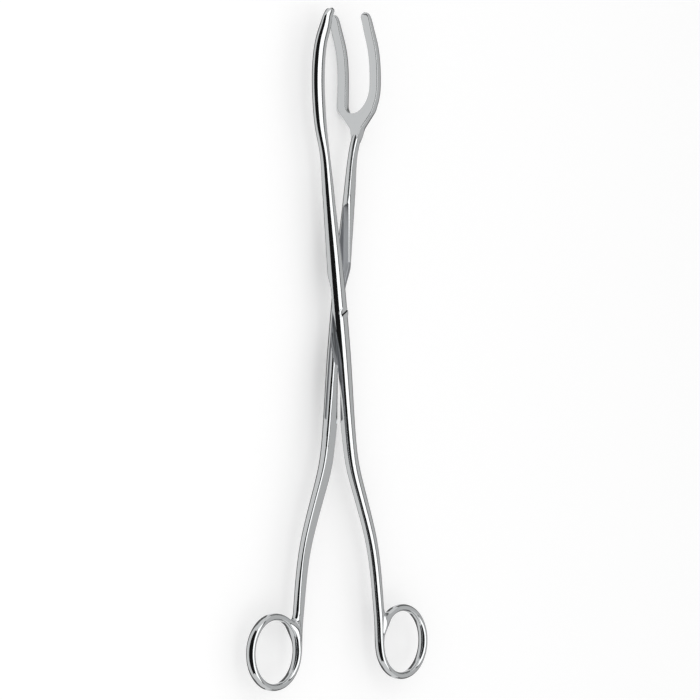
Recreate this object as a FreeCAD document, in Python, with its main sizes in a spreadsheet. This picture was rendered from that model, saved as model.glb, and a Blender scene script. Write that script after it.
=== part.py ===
import FreeCAD, Part
import math
import os

import Sketcher
from FreeCAD import Placement, Rotation, Vector

# Three-prong sterilizing forceps in polished stainless steel, millimetres.
# Each arm is drawn in a frame of its own: the pivot axis is Z through the origin, the jaw points to -X,
# the handle to +X, and the joint's flat faces down at z = 0. The forked arm is then turned over under
# the other. The middle plane of jaws and rings lies a little above the flats, by mid_lift.

SIZES = {
    # how the arms lie, and the angle between them at which the lap's shoulders stop them closing
    "rest_turn": 7.5,
    "closed_turn": 7.2,
    "mid_lift": 0.45,
    # the lap joint: heights are measured from the arm's middle plane
    "lap_width": 6.9,
    "lap_height": 3.5,
    "lap_depth": 2.5,
    "lap_gap": 0.1,
    "lap_jaw_side": 42,
    "lap_handle_side": 52,
    "crown_radius": 8.5,
    "shoulder_start": 9.0,
    "shoulder_room": 0.12,
    # the screw
    "head_diameter": 5.5,
    "head_rim": 0.5,
    "head_dome": 0.3,
    "shoulder_diameter": 3.6,
    "thread_diameter": 3.0,
    "slot_width": 0.8,
    "slot_depth": 0.9,
    "slot_turn": 113.5,
    "bore_clearance": 0.04,
    # the shanks
    "neck_diameter": 3.7,
    "shank_diameter": 4.7,
    "handle_diameter": 4.5,
    "handle_shift": 9.95,
    # the finger rings and the filled crotch where they leave the shank
    "ring_reach": 147.3,
    "ring_side": 23.2,
    "ring_opening": 26.65,
    "ring_wall": 3.05,
    "ring_depth": 4.5,
    "crook_radius": 3.2,
    "web_thickness": 3.0,
    "web_sink": 0.3,
    # the jaws
    "jaw_root": 70.5,
    "jaw_reach": 129.8,
    "jaw_bow": 2.3,
    "tip_turn": 11.6,
    "prong_width": 5.4,
    "prong_thickness": 4.0,
    # the fork
    "fork_root": 86.6,
    "fork_reach": 128.9,
    "fork_bow": 2.9,
    "fork_tip_turn": 9.6,
    "fork_height": 21.8,
    "fork_thickness": 3.7,
    "fork_gap": 13.0,
    "fork_floor_radius": 4.4,
    "fork_flank_radius": 20.0,
    "shoulder_height": 18.6,
    "palm_length": 7.9,
    "fork_cup_radius": 42.0,
    "fork_slot_fillet": 1.3,
    "fork_outer_fillet": 0.9,
    "fork_corner": 0.5,
}

ROUND = "round"
LAP = "lap"
PRONG = "prong"
PALM = "palm"
SIDES = ("east", "north", "west", "south")
# In an oval of four arcs that meet smoothly at 45 degrees, these give the radii and the meeting points
# from the half sizes.
OVAL_GAIN = 1 + math.sqrt(0.5)
OVAL_LOSS = math.sqrt(0.5)
OVAL_MEET = (1 + math.sqrt(2)) / 2
FLATNESS = 10
TRIM_ROOM = 4

MID = "sizes.mid_lift"
RING_RADIUS = "((sizes.ring_opening + sizes.ring_wall) / 2)"
RING_LINE = f"(sizes.ring_side - {RING_RADIUS})"
RING_OUTER = "(sizes.ring_opening / 2 + sizes.ring_wall)"
SHANK_EDGE = "(sizes.handle_shift + sizes.handle_diameter / 2 - sizes.web_sink - sizes.ring_side)"


def make_sheet(doc):
    """Driving dimensions, one row each: the name in column A, the value in column B."""
    sheet = doc.addObject("Spreadsheet::Sheet", "sizes")
    for row, (alias, value) in enumerate(SIZES.items(), start=1):
        sheet.set(f"A{row}", alias)
        sheet.set(f"B{row}", str(value))
        sheet.setAlias(f"B{row}", alias)
    doc.recompute()
    return sheet


def number(sheet, expression):
    """The present value of an expression in millimetres or degrees."""
    value = sheet.evalExpression(expression)
    return float(getattr(value, "Value", value))


def origin_plane(body, role):
    return next(part for part in body.Origin.OriginFeatures if part.Role == role)


def place_sketch(body, name, role, along="0", side="0", up="0", turn=None):
    """A sketch on one of the body's own origin planes, moved by expressions and turned in its plane."""
    sketch = body.newObject("Sketcher::SketchObject", name)
    sketch.AttachmentSupport = [(origin_plane(body, role), "")]
    sketch.MapMode = "FlatFace"
    sketch.AttachmentOffset = Placement(Vector(), Rotation(Vector(0, 0, 1), 1 if turn else 0))
    if turn:
        sketch.setExpression("AttachmentOffset.Rotation.Angle", turn)
    moves = {
        "YZ_Plane": (side, up, along),
        "XY_Plane": (along, side, up),
        "XZ_Plane": (along, up, f"-({side})"),
    }
    for axis, expression in zip("xyz", moves[role]):
        sketch.setExpression(f"AttachmentOffset.Base.{axis}", expression)
    return sketch


def bind(sketch, name, constraint, expression):
    """Adds a named constraint and ties it to an expression."""
    index = sketch.addConstraint(constraint)
    sketch.renameConstraint(index, name)
    sketch.setExpression(f"Constraints.{name}", expression)


def arc_between(centre, radius, start, end):
    circle = Part.Circle(centre, Vector(0, 0, 1), radius)
    first = math.atan2(start.y - centre.y, start.x - centre.x)
    last = math.atan2(end.y - centre.y, end.x - centre.x)
    return Part.ArcOfCircle(circle, first, last if last > first else last + 2 * math.pi)


def draw_section(sheet, sketch, corners, radii):
    """A closed section of four arcs: corners from the north-east one on, radii from the east side on.

    All are expressions, and a negative radius makes a hollow side.
    """
    points = [Vector(number(sheet, x), number(sheet, y), 0) for x, y in corners]
    values = [number(sheet, radius) for radius in radii]
    for k, radius in enumerate(values):
        chord = points[k] - points[k - 1]
        inward = Vector(-chord.y, chord.x, 0).normalize()
        height = math.copysign(math.sqrt(radius**2 - (chord.Length / 2) ** 2), radius)
        centre = (points[k] + points[k - 1]) / 2 + inward * height
        ends = (points[k - 1], points[k]) if radius > 0 else (points[k], points[k - 1])
        sketch.addGeometry(arc_between(centre, abs(radius), *ends))
    for k, (side, radius) in enumerate(zip(SIDES, values)):
        last, first = (2, 1) if radius > 0 else (1, 2)
        next_first = 1 if values[(k + 1) % 4] > 0 else 2
        sketch.addConstraint(Sketcher.Constraint("Coincident", k, last, (k + 1) % 4, next_first))
        sign = "" if radius > 0 else "-"
        bind(sketch, f"{side}_radius", Sketcher.Constraint("Radius", k, abs(radius)), f"{sign}({radii[k]})")
        for axis, place, expression in zip("XY", points[k], corners[k]):
            bind(sketch, f"{side}_end_{axis.lower()}",
                 Sketcher.Constraint(f"Distance{axis}", k, last, place), expression)


def share_between(first, second, share):
    """An expression for the place that lies a share of the way from one size to another."""
    return f"(sizes.{first} + (sizes.{second} - sizes.{first}) * {share})"


def oval(across, along):
    """A smooth oval's corner and its side and end radii, from its half sizes across and along."""
    corner = (f"({OVAL_MEET} * ({across}) - ({along}) / 2)", f"({OVAL_MEET} * ({along}) - ({across}) / 2)")
    side = f"({OVAL_GAIN} * ({along}) - {OVAL_LOSS} * ({across}))"
    end = f"({OVAL_GAIN} * ({across}) - {OVAL_LOSS} * ({along}))"
    return corner, side, end


def bulge(radius, half):
    """How far an arc of a radius stands out over a chord of half a length."""
    return f"(({radius}) - sqrt(({radius})^2 - ({half})^2))"


class Station:
    """One section of an arm: its place along the arm, its centre and its outline."""

    def __init__(self, kind, along, side, wide, top, bottom=None):
        self.kind = kind
        self.along = along
        self.side = side
        self.wide = wide
        self.top = top
        self.bottom = bottom or f"-({top})"

    def tall(self):
        return f"(({self.top}) - ({self.bottom}))"

    def up(self):
        return f"(({self.top}) + ({self.bottom})) / 2"

    def outline(self):
        """The section's corners and side radii about its own middle."""
        wide, tall = f"({self.wide})", self.tall()
        flat = f"({FLATNESS} * {tall})"
        if self.kind == ROUND:
            (x, y), side, end = oval(f"{wide} / 2", f"{tall} / 2")
            corners = [(x, y), (f"-{x}", y), (f"-{x}", f"-{y}"), (x, f"-{y}")]
            return corners, (side, end, side, end)
        if self.kind == LAP:
            sole = f"(0.8 * {wide})"
            high = f"({tall} / 2 - {bulge('sizes.crown_radius', f'{wide} / 2')})"
            low = f"({bulge(sole, f'{wide} / 2')} - {tall} / 2)"
            x = f"{wide} / 2"
            return [(x, high), (f"-{x}", high), (f"-{x}", low), (x, low)], (flat, "sizes.crown_radius", flat, sole)
        if self.kind == PRONG:
            (x, y), side, end = oval(wide, f"{tall} / 2")
            east, west, y_east = f"{wide} / 2", f"({wide} / 2 - {x})", f"{tall} / 2"
            corners = [(east, y_east), (west, y), (west, f"-{y}"), (east, f"-{y_east}")]
            return corners, (flat, end, side, end)
        cup, back = "sizes.fork_cup_radius", f"(sizes.fork_cup_radius + {wide})"
        east = f"({wide} / 2 + {bulge(cup, f'{tall} / 2')})"
        west = f"({bulge(back, f'{tall} / 2')} - {wide} / 2)"
        y = f"{tall} / 2"
        corners = [(east, y), (west, y), (west, f"-{y}"), (east, f"-{y}")]
        end = f"({FLATNESS} * {wide})"
        return corners, (f"-{cup}", end, back, end)


def add_loft(doc, sheet, name, stations, lift):
    """A smooth loft through the stations, each section square to the line through its neighbours."""
    sketches = []
    for k, station in enumerate(stations):
        before, after = stations[max(k - 1, 0)], stations[min(k + 1, len(stations) - 1)]
        rise = f"(({after.side}) - ({before.side}))"
        run = f"(({after.along}) - ({before.along}))"
        sketch = doc.addObject("Sketcher::SketchObject", f"{name}_section_{k + 1}")
        centre = f"create(<<vector>>; {station.along}; {station.side}; {station.up()} + {lift})"
        turn = f"create(<<rotation>>; 90 deg + atan({rise} / {run}); 0; 90 deg)"
        sketch.setExpression("Placement", f"create(<<placement>>; {centre}; {turn})")
        draw_section(sheet, sketch, *station.outline())
        sketches.append(sketch)
    loft = doc.addObject("Part::Loft", name)
    loft.Sections = sketches
    loft.Solid = True
    loft.MaxDegree = 2
    return loft


def handle_stations():
    """From the joint through the S-bend to the finger ring."""
    shank, handle, lap = "sizes.shank_diameter", "sizes.handle_diameter", "sizes.lap_width"
    top, depth, reach = "sizes.lap_height", "-sizes.lap_depth", "sizes.lap_handle_side"
    shift = "sizes.handle_shift"

    def bend(share):
        return share_between("lap_handle_side", "ring_reach", share)

    return [
        Station(LAP, "0", "0", lap, top, depth),
        Station(LAP, f"{reach} * 0.42", "0", f"{lap} * 0.97", f"{top} * 0.96", depth),
        Station(LAP, f"{reach} * 0.76", "0", f"{lap} * 0.87", f"{top} * 0.82", f"{depth} * 0.94"),
        Station(ROUND, reach, "0", f"{shank} * 1.2", f"{shank} * 0.58"),
        Station(ROUND, bend("0.15"), f"{shift} * 0.08", f"{shank} * 1.16", f"{shank} * 0.55"),
        Station(ROUND, bend("0.27"), f"{shift} * 0.35", f"{shank} * 1.1", f"{shank} * 0.52"),
        Station(ROUND, bend("0.38"), f"{shift} * 0.63", f"{shank} * 1.06", f"{shank} * 0.5"),
        Station(ROUND, bend("0.5"), f"{shift} * 0.88", f"{handle} * 1.07", f"{handle} * 0.51"),
        Station(ROUND, bend("0.64"), f"{shift} * 0.995", f"{handle} * 1.02", f"{handle} * 0.51"),
        Station(ROUND, bend("0.78"), shift, handle, f"{handle} * 0.5"),
        Station(ROUND, bend("0.9"), f"{shift} * 0.4 + {RING_LINE} * 0.64", f"{handle} * 0.87",
                f"{handle} * 0.5"),
        Station(ROUND, "sizes.ring_reach", RING_LINE, "sizes.ring_wall * 0.9", "sizes.ring_depth * 0.45"),
    ]


def shank_stations():
    """From the jaw's root back to the joint, without the joint's own station."""
    neck, shank, lap = "sizes.neck_diameter", "sizes.shank_diameter", "sizes.lap_width"
    top, depth, reach = "sizes.lap_height", "-sizes.lap_depth", "sizes.lap_jaw_side"
    return [
        Station(ROUND, "-sizes.jaw_root", "-sizes.jaw_bow * 0.19", f"{neck} * 1.03", f"{neck} * 0.515"),
        Station(ROUND, "-" + share_between("lap_jaw_side", "jaw_root", "0.5"), "0",
                f"{shank} * 0.92", f"{shank} * 0.46"),
        Station(ROUND, f"-{reach}", "0", f"{shank} * 1.02", f"{shank} * 0.51"),
        Station(LAP, f"-{reach} * 0.66", "0", f"{lap} * 0.87", f"{top} * 0.88", f"{depth} * 0.92"),
        Station(LAP, f"-{reach} * 0.34", "0", f"{lap} * 0.97", f"{top} * 0.98", f"{depth} * 0.98"),
    ]


JAW_SHAPE = (
    # share of the jaw's length, share of the bow, share of the tip's turn, width, thickness
    (1.0, 0.0, 1.0, 0.42, 0.38),
    (0.965, 0.1, 0.845, 0.74, 0.66),
    (0.89, 0.36, 0.66, 0.9, 0.84),
    (0.78, 0.72, 0.41, 0.98, 0.96),
    (0.64, 0.98, 0.2, 1.0, 1.0),
    (0.48, 1.05, 0.065, 1.0, 1.02),
    (0.33, 1.0, 0.0, 0.98, 1.02),
    (0.145, 0.82, 0.0, 0.87, 1.0),
)


def prong_stations():
    """The single prong from its tip to its root."""
    return [
        Station(PRONG, "-" + share_between("jaw_root", "jaw_reach", along),
                f"(sizes.tip_turn * {turn} - sizes.jaw_bow * {bow})",
                f"sizes.prong_thickness * {thick}", f"sizes.prong_width * {wide} / 2")
        for along, bow, turn, wide, thick in JAW_SHAPE
    ]


def palm_stations():
    """The fork's blade before it is trimmed, from its tip to the root that hides in the shank."""
    half = f"(sizes.fork_height + {TRIM_ROOM}) / 2"
    stations = [
        Station(PALM, "-" + share_between("jaw_root", "fork_reach", along),
                f"(sizes.fork_tip_turn * {turn} - sizes.fork_bow * {bow})",
                f"sizes.fork_thickness * {max(thick, 0.55)}", half)
        for along, bow, turn, _, thick in JAW_SHAPE
    ]
    root = Station(PALM, "-sizes.jaw_root - 1.5", "-sizes.fork_bow * 0.2", "sizes.fork_thickness * 0.8", half)
    return stations + [root]


def start_body(doc, name, base=None):
    body = doc.addObject("PartDesign::Body", name)
    if base:
        body.BaseFeature = base
    return body


def add_polygon(sketch, sheet, corners):
    """A closed outline of straight lines whose corners are tied to expressions."""
    points = [Vector(number(sheet, x), number(sheet, y), 0) for x, y in corners]
    count = len(points)
    for k in range(count):
        sketch.addGeometry(Part.LineSegment(points[k], points[(k + 1) % count]))
    for k in range(count):
        sketch.addConstraint(Sketcher.Constraint("Coincident", k, 2, (k + 1) % count, 1))
    for k, (x, y) in enumerate(corners):
        bind(sketch, f"corner_{k + 1}_x", Sketcher.Constraint("DistanceX", k, 1, points[k].x), x)
        bind(sketch, f"corner_{k + 1}_y", Sketcher.Constraint("DistanceY", k, 1, points[k].y), y)


def cut_pocket(body, sketch, name, length=None, both_ways=False):
    pocket = body.newObject("PartDesign::Pocket", name)
    pocket.Profile = sketch
    if both_ways:
        pocket.Type = "ThroughAll"
        pocket.Midplane = True
    else:
        pocket.setExpression("Length", length)
    return pocket


def revolve(body, sketch, name, axis, kind="PartDesign::Revolution"):
    feature = body.newObject(kind, name)
    feature.Profile = sketch
    feature.ReferenceAxis = axis
    feature.Angle = 360
    return feature


def add_ring(body, sheet, lift):
    """The finger ring: an ellipse, as deep as the shank's end, turned about the ring's own axis."""
    sketch = place_sketch(body, "ring_section", "YZ_Plane", "sizes.ring_reach", RING_LINE, lift)
    middle = number(sheet, RING_RADIUS)
    axis = sketch.addGeometry(Part.LineSegment(Vector(middle, -1, 0), Vector(middle, 1, 0)), True)
    sketch.addConstraint(Sketcher.Constraint("Symmetric", axis, 1, axis, 2, -1))
    bind(sketch, "ring_radius", Sketcher.Constraint("DistanceX", axis, 1, middle), RING_RADIUS)
    wall, depth = number(sheet, "sizes.ring_wall"), number(sheet, "sizes.ring_depth")
    oval_ring = Part.Ellipse(Vector(0, depth / 2, 0), Vector(wall / 2, 0, 0), Vector())
    section = sketch.addGeometry(oval_ring)
    sketch.exposeInternalGeometry(section)
    long_line, short_line = section + 1, section + 2
    sketch.addConstraint(Sketcher.Constraint("Coincident", section, 3, -1, 1))
    sketch.addConstraint(Sketcher.Constraint("Vertical", long_line))
    bind(sketch, "depth", Sketcher.Constraint("Distance", long_line, depth), "sizes.ring_depth")
    bind(sketch, "wall", Sketcher.Constraint("Distance", short_line, wall), "sizes.ring_wall")
    revolve(body, sketch, "ring", (sketch, ["Axis0"]))


def add_web(body, sheet, lift):
    """The filled crotch between ring and shank, open towards the handle with a small round crook."""
    sketch = place_sketch(body, "web_outline", "XY_Plane", "sizes.ring_reach", "sizes.ring_side", lift)
    outer = number(sheet, RING_OUTER)
    crook = number(sheet, "sizes.crook_radius")
    edge = number(sheet, SHANK_EDGE)
    down = edge + crook
    back = -math.sqrt((outer + crook) ** 2 - down**2)
    centre = Vector(back, down, 0)
    on_ring = centre * (outer / centre.Length)
    on_shank = Vector(back, edge, 0)
    radius = number(sheet, RING_RADIUS)
    inner = centre * (radius / centre.Length)
    depth = Vector(0, -number(sheet, "sizes.handle_diameter / 2"), 0)
    low = Vector(-radius * 0.4, edge, 0) + depth
    sketch.addGeometry(arc_between(centre, crook, on_shank, on_ring))
    corners = [on_ring, inner, low, on_shank + depth, on_shank]
    for first, second in zip(corners, corners[1:]):
        sketch.addGeometry(Part.LineSegment(first, second))
    for k in range(5):
        sketch.addConstraint(Sketcher.Constraint("Coincident", k, 2, (k + 1) % 5, 1))
    bind(sketch, "crook", Sketcher.Constraint("Radius", 0, crook), "sizes.crook_radius")
    bind(sketch, "edge", Sketcher.Constraint("DistanceY", 0, 3, down), f"{SHANK_EDGE} + sizes.crook_radius")
    pad = body.newObject("PartDesign::Pad", "web")
    pad.Profile = sketch
    pad.Midplane = True
    pad.setExpression("Length", "sizes.web_thickness")


def wall_side(along):
    """How far to the side the shoulder's wall stands at a place towards the jaw."""
    room = "(sizes.lap_width / 2 + sizes.shoulder_room)"
    return f"(({along}) * tan(sizes.closed_turn * 1 deg) - {room} / cos(sizes.closed_turn * 1 deg))"


def cut_lap(body, sheet):
    """The notch that the other arm lies in. Its two walls stop the arms when they close."""
    sketch = place_sketch(body, "lap_outline", "XY_Plane", up="sizes.lap_gap / 2")
    start, wide = "sizes.shoulder_start", "sizes.lap_width"
    jaw_end, handle_end = "(sizes.lap_jaw_side * 1.22)", "sizes.lap_handle_side"
    add_polygon(sketch, sheet, [
        (f"-{jaw_end}", wide),
        (f"-{jaw_end}", wall_side(jaw_end)),
        (f"-{start}", wall_side(start)),
        (f"-{start}", f"-{wide}"),
        (handle_end, f"-{wide}"),
        (handle_end, f"-{wall_side(handle_end)}"),
        (start, f"-{wall_side(start)}"),
        (start, wide),
    ])
    cut_pocket(body, sketch, "lap_flat", "2 * sizes.lap_height")


def make_bar(doc, sheet, name, stations, lift):
    """One arm's forging without its jaw's fork or its screw hole."""
    body = start_body(doc, name, add_loft(doc, sheet, f"{name}_loft", stations, lift))
    doc.recompute()
    add_ring(body, sheet, lift)
    add_web(body, sheet, lift)
    cut_lap(body, sheet)
    return body


def head_profile(gap):
    """Expressions for the head's radius, the shoulder's radius and the height of the cone's rim."""
    head = f"(sizes.head_diameter / 2 + {gap})"
    shoulder = f"(sizes.shoulder_diameter / 2 + {gap})"
    drop = f"{gap} * {math.sqrt(2) - 1:.4f}"
    rim = f"(sizes.lap_height + {MID} - sizes.head_dome - sizes.head_rim - {drop})"
    return head, shoulder, rim


def make_single_prong_arm(doc, sheet):
    stations = prong_stations() + shank_stations() + handle_stations()
    body = make_bar(doc, sheet, "single_prong_arm", stations, MID)
    head, shoulder, rim = head_profile("sizes.bore_clearance")
    sketch = place_sketch(body, "bore_profile", "XZ_Plane")
    add_polygon(sketch, sheet, [
        ("0", "-sizes.lap_height"),
        (shoulder, "-sizes.lap_height"),
        (shoulder, f"{rim} - ({head} - {shoulder})"),
        (head, rim),
        (head, "2 * sizes.lap_height"),
        ("0", "2 * sizes.lap_height"),
    ])
    revolve(body, sketch, "bore", (origin_plane(body, "Z_Axis"), [""]), "PartDesign::Groove")
    place_over(body, "0")
    return body


def fork_outline_corners():
    """Half of what is trimmed off the fork, seen square to its flat, from the neck to the tip."""
    half, tip, corner = "sizes.fork_height / 2", "sizes.fork_reach", "sizes.fork_corner"
    return [
        ("-sizes.jaw_root - 1", "sizes.neck_diameter * 0.25"),
        ("-sizes.fork_root + sizes.palm_length - 0.7", "sizes.neck_diameter * 0.74"),
        ("-sizes.fork_root - 0.7", "sizes.shoulder_height / 2"),
        ("-sizes.fork_root - 6", f"{half} - {corner}"),
        ("-sizes.fork_root - 13", half),
        (f"-{tip} + 8", half),
        (f"-{tip} + 2.4", f"{half} - {corner}"),
        (f"-{tip} + 1", f"{half} - 3 * {corner}"),
        (f"-{tip} - 5", f"{half} - 3 * {corner}"),
        (f"-{tip} - 5", f"{half} + {TRIM_ROOM}"),
        ("-sizes.jaw_root + 2", f"{half} + {TRIM_ROOM}"),
        ("-sizes.jaw_root + 2", "sizes.neck_diameter * 0.25"),
    ]


def round_back(body, sheet, feature, name, radius, wanted):
    """Rounds the edges between the fork's back and its walls whose middles are wanted."""
    body.Document.recompute()
    lift = Vector(0, 0, number(sheet, MID))
    found = []
    for index, edge in enumerate(feature.Shape.Edges, start=1):
        faces = feature.Shape.ancestorsOfType(edge, Part.Face)
        middle = edge.valueAt((edge.FirstParameter + edge.LastParameter) / 2)
        normals = [face.normalAt(*face.Surface.parameter(middle)) for face in faces]
        on_back = sum(normal.y < -0.6 for normal in normals) == 1
        on_wall = sum(abs(normal.y) < 0.3 for normal in normals) == 1
        if edge.Length > 1 and on_back and on_wall and wanted(middle + lift):
            found.append(f"Edge{index}")
    fillet = body.newObject("PartDesign::Fillet", name)
    fillet.Base = (feature, found)
    fillet.setExpression("Radius", radius)
    return fillet


def make_fork_blade(doc, sheet):
    """The palm and two prongs: a bowed blade, trimmed to its outline and slotted between the prongs."""
    loft = add_loft(doc, sheet, "fork_blade_loft", palm_stations(), f"-{MID}")
    body = start_body(doc, "fork_blade", loft)
    doc.recompute()
    corners = fork_outline_corners()
    for side, sign in (("upper", 1), ("lower", -1)):
        sketch = place_sketch(body, f"{side}_outline", "XZ_Plane", up=f"-{MID}")
        add_polygon(sketch, sheet, [(x, f"{sign} * ({y})") for x, y in corners])
        cut_pocket(body, sketch, f"{side}_trim", both_ways=True)
    sketch = place_sketch(body, "slot_outline", "XZ_Plane", "-sizes.fork_root", up=f"-{MID}")
    draw_fork_slot(sheet, sketch)
    slot = cut_pocket(body, sketch, "fork_slot", both_ways=True)
    wall = number(sheet, "(sizes.fork_gap / 2 + sizes.fork_height / 2) / 2")
    neck = number(sheet, "sizes.fork_root - sizes.fork_floor_radius / 2")
    inner = round_back(body, sheet, slot, "slot_back", "sizes.fork_slot_fillet",
                       lambda at: abs(at.z) < wall and at.x < -neck)
    round_back(body, sheet, inner, "outer_back", "sizes.fork_outer_fillet",
               lambda at: abs(at.z) > wall or at.x > -neck)
    return body


def draw_fork_slot(sheet, sketch):
    """A U with a tight floor, two wide flanks and straight sides that run out past the tips."""
    floor, flank = number(sheet, "sizes.fork_floor_radius"), number(sheet, "sizes.fork_flank_radius")
    half = number(sheet, "sizes.fork_gap / 2")
    floor_centre = Vector(-floor, 0, 0)
    reach = math.sqrt((flank - floor) ** 2 - (flank - half) ** 2)
    upper_centre = floor_centre + Vector(-reach, half - flank, 0)
    lower_centre = floor_centre + Vector(-reach, flank - half, 0)
    upper_touch = floor_centre + (floor_centre - upper_centre).normalize() * floor
    lower_touch = Vector(upper_touch.x, -upper_touch.y, 0)
    upper_end = Vector(upper_centre.x, half, 0)
    lower_end = Vector(upper_centre.x, -half, 0)
    mouth_expression = f"sizes.fork_root - sizes.fork_reach - {TRIM_ROOM}"
    mouth = number(sheet, mouth_expression)
    sketch.addGeometry(arc_between(floor_centre, floor, lower_touch, upper_touch))
    sketch.addGeometry(arc_between(upper_centre, flank, upper_touch, upper_end))
    sketch.addGeometry(Part.LineSegment(upper_end, Vector(mouth, half, 0)))
    sketch.addGeometry(Part.LineSegment(Vector(mouth, half, 0), Vector(mouth, -half, 0)))
    sketch.addGeometry(Part.LineSegment(Vector(mouth, -half, 0), lower_end))
    sketch.addGeometry(arc_between(lower_centre, flank, lower_end, lower_touch))
    for first, second in ((0, 1), (1, 2), (4, 5), (5, 0)):
        sketch.addConstraint(Sketcher.Constraint("Tangent", first, 2, second, 1))
    for first, second in ((2, 3), (3, 4)):
        sketch.addConstraint(Sketcher.Constraint("Coincident", first, 2, second, 1))
    for line in (2, 4):
        sketch.addConstraint(Sketcher.Constraint("Horizontal", line))
    sketch.addConstraint(Sketcher.Constraint("Symmetric", 3, 1, 3, 2, -1))
    sketch.addConstraint(Sketcher.Constraint("PointOnObject", 0, 3, -1))
    sketch.addConstraint(Sketcher.Constraint("Equal", 1, 5))
    bind(sketch, "floor", Sketcher.Constraint("Radius", 0, floor), "sizes.fork_floor_radius")
    bind(sketch, "flank", Sketcher.Constraint("Radius", 1, flank), "sizes.fork_flank_radius")
    bind(sketch, "depth", Sketcher.Constraint("DistanceX", 0, 3, -floor), "-sizes.fork_floor_radius")
    bind(sketch, "gap", Sketcher.Constraint("DistanceY", 3, 1, half), "sizes.fork_gap / 2")
    bind(sketch, "mouth", Sketcher.Constraint("DistanceX", 3, 1, mouth), mouth_expression)


def make_forked_arm(doc, sheet):
    """The bar, whose root runs on inside the palm, joined with the fork's blade."""
    thick = "sizes.fork_thickness"
    root = Station(ROUND, "-sizes.jaw_root - 12", "-sizes.fork_bow * 0.95", f"{thick} * 0.8", f"{thick} * 0.4")
    neck = Station(ROUND, "-sizes.jaw_root - 7", "-sizes.fork_bow * 0.68", f"{thick} * 0.92", f"{thick} * 0.47")
    stations = [root, neck] + shank_stations() + handle_stations()
    bar = make_bar(doc, sheet, "forked_bar", stations, f"-{MID}")
    sketch = place_sketch(bar, "thread_outline", "XY_Plane")
    sketch.addGeometry(Part.Circle(Vector(), Vector(0, 0, 1), number(sheet, "sizes.thread_diameter / 2")))
    sketch.addConstraint(Sketcher.Constraint("Coincident", 0, 3, -1, 1))
    bind(sketch, "thread", Sketcher.Constraint("Radius", 0, 1.0), "sizes.thread_diameter / 2")
    cut_pocket(bar, sketch, "threaded_hole", both_ways=True)
    blade = make_fork_blade(doc, sheet)
    arm = doc.addObject("Part::Fuse", "forked_arm")
    arm.Base = bar
    arm.Tool = blade
    arm.Refine = False
    place_over(arm, "180")
    return arm


def make_pivot_screw(doc, sheet):
    body = start_body(doc, "pivot_screw")
    head, shoulder, rim = head_profile("0")
    top = f"(sizes.lap_height + {MID})"
    sketch = place_sketch(body, "screw_profile", "XZ_Plane")
    thread = "sizes.thread_diameter / 2"
    end = f"{MID} + sizes.head_dome / 2 - sizes.lap_height"
    flat = "-sizes.lap_gap / 2"
    add_polygon(sketch, sheet, [
        ("0", end),
        (thread, end),
        (thread, flat),
        (shoulder, flat),
        (shoulder, f"{rim} - ({head} - {shoulder})"),
        (head, rim),
        (head, f"{top} - sizes.head_dome"),
        (f"{head} * 0.6", f"{top} - sizes.head_dome * 0.36"),
        ("0", top),
    ])
    revolve(body, sketch, "screw", (origin_plane(body, "Z_Axis"), [""]))
    slot = place_sketch(body, "slot_outline", "XY_Plane", up=top, turn="sizes.slot_turn")
    reach, half = "sizes.head_diameter", "sizes.slot_width / 2"
    add_polygon(slot, sheet, [(f"-{reach}", f"-{half}"), (reach, f"-{half}"), (reach, half), (f"-{reach}", half)])
    cut_pocket(body, slot, "slot", "sizes.slot_depth")
    place_over(body, None)
    return body


def place_over(obj, roll):
    """Moves a finished piece from the pivot's frame to the part's own, with its arm's turn at rest."""
    turned = "sizes.rest_turn * 1 deg"
    far = f"(sizes.ring_reach * cos({turned}) - sizes.ring_side * sin({turned}) + {RING_OUTER})"
    tip = f"(sizes.jaw_reach * cos({turned}) + sizes.tip_turn * sin({turned}))"
    height = f"sizes.fork_height / 2 - {MID}"
    centre = f"create(<<vector>>; ({tip} - {far}) / 2; 0; {height})"
    turns = {"0": "sizes.rest_turn", "180": "-sizes.rest_turn", None: "0"}
    turn = f"create(<<rotation>>; {turns[roll]}; 0; {roll or 0})"
    obj.setExpression("Placement", f"create(<<placement>>; {centre}; {turn})")


def check_and_export(doc, parts):
    """Stops on any failed object or shape, then writes one file for each piece."""
    doc.recompute()
    failed = [obj.Name for obj in doc.Objects if {"Invalid", "Error"} & set(obj.State)]
    if failed:
        raise RuntimeError(f"objects that failed: {failed}")
    for part in parts:
        if part.Shape.isNull() or not part.Shape.isValid():
            raise RuntimeError(f"{part.Label} has no valid shape")
    for cut in doc.findObjects("PartDesign::Pocket") + doc.findObjects("PartDesign::Groove"):
        taken = cut.BaseFeature.Shape.Volume - cut.Shape.Volume
        if taken < 0.1:
            raise RuntimeError(f"{cut.Name} takes nothing away")
        print(cut.Name, "takes", round(taken, 2), "mm3")
    os.makedirs("parts", exist_ok=True)
    for part in parts:
        part.Shape.exportStep(f"parts/{part.Label}.step")
        print(part.Label, len(part.Shape.Solids), "solid", round(part.Shape.Volume, 1), "mm3")


def main():
    doc = FreeCAD.newDocument("sterilizing_forceps")
    sheet = make_sheet(doc)
    parts = [make_single_prong_arm(doc, sheet), make_forked_arm(doc, sheet), make_pivot_screw(doc, sheet)]
    check_and_export(doc, parts)


if __name__ == "__main__":
    main()
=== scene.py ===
"""Sterilizing forceps of mirror-polished stainless steel, dressed for a studio picture.

All shapes are drawn in millimetres in an arm's own frame: the pivot axis is Z through the origin, the jaw
points to -X, the handle to +X, and the crowned outer side faces +Z. Each arm is then laid in the frame of
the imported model, in metres.
"""

import logging
import math
from dataclasses import dataclass, field
from enum import Enum

import bpy
import numpy as np
from mathutils import Matrix, Vector


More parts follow.
